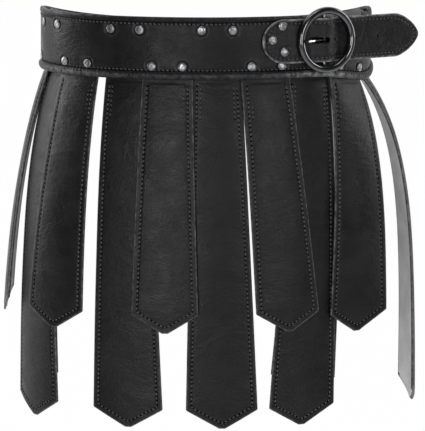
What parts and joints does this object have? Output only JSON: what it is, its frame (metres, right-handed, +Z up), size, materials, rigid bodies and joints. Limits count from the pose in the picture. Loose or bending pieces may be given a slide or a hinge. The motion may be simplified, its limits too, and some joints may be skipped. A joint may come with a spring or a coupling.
{
  "type": "leather armour skirt",
  "caption": "Leather armour skirt: a stitched, riveted waist belt with two rows of hanging pointed leather straps, closed by a round centre bar buckle.",
  "frame": {"origin": "centre of the waist opening, at the middle of the belt's height at the front", "axes": "+Z up along the body, -Y towards the front, +X to the right as the front is seen"},
  "size_m": [0.4138, 0.251, 0.4319],
  "materials": {
    "belt_leather": "smooth black leather with a soft gloss",
    "strap_leather": "black leather, two rows of stitching",
    "lining": "pale grey napped lining",
    "buckle_metal": "polished black nickel",
    "prong_metal": "bright nickel",
    "rivet_metal": "worn nickel"
  },
  "bodies": {
    "belt": {"belt_band": "belt_leather", "upper_hem": "belt_leather", "lower_hem": "belt_leather", "belt_lining": "lining", "under_lap": "belt_leather", "outer_row_tabs": "strap_leather", "inner_row_tabs": "strap_leather", "lower_rivets": "rivet_metal", "upper_rivets": "rivet_metal", "rivet_washers": "rivet_metal", "billet_strap": "belt_leather", "billet_rivets": "rivet_metal", "chape": "belt_leather", "chape_rivets": "rivet_metal", "buckle_ring": "buckle_metal"},
    "prong": {"buckle_prong": "prong_metal"},
    "outer_strap_1": {"outer_strap_1": "strap_leather", "outer_lining_1": "lining"},
    "inner_strap_1": {"inner_strap_1": "strap_leather", "inner_lining_1": "lining"},
    "outer_strap_2": {"outer_strap_2": "strap_leather", "outer_lining_2": "lining"},
    "inner_strap_2": {"inner_strap_2": "strap_leather", "inner_lining_2": "lining"},
    "outer_strap_3": {"outer_strap_3": "strap_leather", "outer_lining_3": "lining"},
    "inner_strap_3": {"inner_strap_3": "strap_leather", "inner_lining_3": "lining"},
    "outer_strap_4": {"outer_strap_4": "strap_leather", "outer_lining_4": "lining"},
    "inner_strap_4": {"inner_strap_4": "strap_leather", "inner_lining_4": "lining"},
    "outer_strap_5": {"outer_strap_5": "strap_leather", "outer_lining_5": "lining"},
    "inner_strap_5": {"inner_strap_5": "strap_leather", "inner_lining_5": "lining"},
    "outer_strap_6": {"outer_strap_6": "strap_leather", "outer_lining_6": "lining"},
    "inner_strap_6": {"inner_strap_6": "strap_leather", "inner_lining_6": "lining"},
    "outer_strap_7": {"outer_strap_7": "strap_leather", "outer_lining_7": "lining"},
    "inner_strap_7": {"inner_strap_7": "strap_leather", "inner_lining_7": "lining"},
    "outer_strap_8": {"outer_strap_8": "strap_leather", "outer_lining_8": "lining"},
    "inner_strap_8": {"inner_strap_8": "strap_leather", "inner_lining_8": "lining"},
    "outer_strap_9": {"outer_strap_9": "strap_leather", "outer_lining_9": "lining"},
    "inner_strap_9": {"inner_strap_9": "strap_leather", "inner_lining_9": "lining"}
  },
  "joints": [
    {"name": "inner_1_swing", "type": "hinge", "parent": "belt", "child": "inner_strap_1", "pos_m": [-0.14564, -0.03562, -0.032], "axis": [-0.48, 0.8773, 0], "range_deg": [-3, 0]},
    {"name": "outer_1_swing", "type": "hinge", "parent": "belt", "child": "outer_strap_1", "pos_m": [-0.12341, -0.06774, -0.032], "axis": [-0.766, 0.6428, 0], "range_deg": [0, 60]},
    {"name": "inner_2_swing", "type": "hinge", "parent": "belt", "child": "inner_strap_2", "pos_m": [-0.07452, -0.09121, -0.032], "axis": [-0.9379, 0.3469, 0], "range_deg": [-3, 0]},
    {"name": "outer_2_swing", "type": "hinge", "parent": "belt", "child": "outer_strap_2", "pos_m": [-0.03658, -0.10489, -0.032], "axis": [-0.9872, 0.1592, 0], "range_deg": [0, 60]},
    {"name": "inner_3_swing", "type": "hinge", "parent": "belt", "child": "inner_strap_3", "pos_m": [0.01063, -0.10385, -0.032], "axis": [-0.9989, -0.0464, 0], "range_deg": [-3, 0]},
    {"name": "outer_3_swing", "type": "hinge", "parent": "belt", "child": "outer_strap_3", "pos_m": [0.05769, -0.10041, -0.032], "axis": [-0.9665, -0.2567, 0], "range_deg": [0, 60]},
    {"name": "inner_4_swing", "type": "hinge", "parent": "belt", "child": "inner_strap_4", "pos_m": [0.09968, -0.07961, -0.03204], "axis": [-0.8703, -0.4921, 0.0227], "range_deg": [-3, 0]},
    {"name": "outer_4_swing", "type": "hinge", "parent": "belt", "child": "outer_strap_4", "pos_m": [0.13779, -0.05348, -0.03794], "axis": [-0.6368, -0.7545, 0.1589], "range_deg": [0, 60]},
    {"name": "inner_5_swing", "type": "hinge", "parent": "belt", "child": "inner_strap_5", "pos_m": [0.15452, 0.00895, -0.03331], "axis": [0.1287, -0.9893, -0.0689], "range_deg": [-3, 0]},
    {"name": "outer_5_swing", "type": "hinge", "parent": "belt", "child": "outer_strap_5", "pos_m": [0.13526, 0.05638, -0.04229], "axis": [0.6604, -0.7288, 0.1807], "range_deg": [0, 60]},
    {"name": "inner_6_swing", "type": "hinge", "parent": "belt", "child": "inner_strap_6", "pos_m": [0.10572, 0.07601, -0.04828], "axis": [0.8391, -0.5265, 0.1369], "range_deg": [-3, 0]},
    {"name": "outer_6_swing", "type": "hinge", "parent": "belt", "child": "outer_strap_6", "pos_m": [0.0605, 0.09964, -0.05379], "axis": [0.9603, -0.2695, 0.0714], "range_deg": [0, 60]},
    {"name": "inner_7_swing", "type": "hinge", "parent": "belt", "child": "inner_strap_7", "pos_m": [0.01116, 0.10383, -0.05593], "axis": [0.9987, -0.0487, 0.013], "range_deg": [-3, 0]},
    {"name": "outer_7_swing", "type": "hinge", "parent": "belt", "child": "outer_strap_7", "pos_m": [-0.03839, 0.10459, -0.05513], "axis": [0.9849, 0.1672, -0.0444], "range_deg": [0, 60]},
    {"name": "inner_8_swing", "type": "hinge", "parent": "belt", "child": "inner_strap_8", "pos_m": [-0.07806, 0.08986, -0.05208], "axis": [0.9264, 0.3642, -0.0961], "range_deg": [-3, 0]},
    {"name": "outer_8_swing", "type": "hinge", "parent": "belt", "child": "outer_strap_8", "pos_m": [-0.13194, 0.05988, -0.04319], "axis": [0.6913, 0.7009, -0.1757], "range_deg": [0, 60]},
    {"name": "inner_9_swing", "type": "hinge", "parent": "belt", "child": "inner_strap_9", "pos_m": [-0.14733, 0.03238, -0.0368], "axis": [0.4334, 0.8809, -0.1902], "range_deg": [-3, 0]},
    {"name": "outer_9_swing", "type": "hinge", "parent": "belt", "child": "outer_strap_9", "pos_m": [-0.1588, 0, -0.032], "axis": [0, 1, -0.0097], "range_deg": [0, 60]},
    {"name": "prong_lift", "type": "hinge", "parent": "belt", "child": "prong", "pos_m": [0.11403, -0.08422, 0.006], "axis": [0, 0, 1], "range_deg": [0, 75]}
  ]
}
